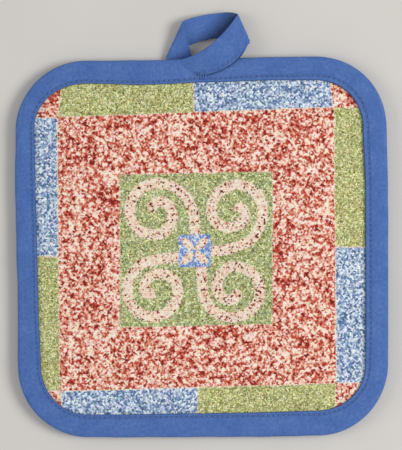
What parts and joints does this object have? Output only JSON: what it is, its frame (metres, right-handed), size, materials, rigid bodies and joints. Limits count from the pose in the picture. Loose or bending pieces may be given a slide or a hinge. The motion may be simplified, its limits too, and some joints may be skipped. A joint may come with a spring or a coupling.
{
  "type": "pot holder",
  "caption": "Square padded cotton pot holder with rounded corners, a printed face, a bound edge and a folded hanging loop.",
  "frame": {"origin": "on the table under the middle of the pad, which lies on its back with the printed face up", "axes": "+X to the right and +Y up the printed face towards the hanging loop, +Z off the table"},
  "size_m": [0.204, 0.2324, 0.0081],
  "materials": {
    "plain_cotton": "plain woven cotton, undyed and matt",
    "cotton_batting": "soft needled cotton batting",
    "printed_canvas": "ribbed cotton canvas printed with speckled red, green, blue and cream fields",
    "cotton_tape": "blue woven cotton, folded and topstitched"
  },
  "bodies": {
    "root": {"back_panel": "plain_cotton", "wadding": "cotton_batting", "front_panel": "printed_canvas", "bias_binding": "cotton_tape"}
  },
  "joints": []
}
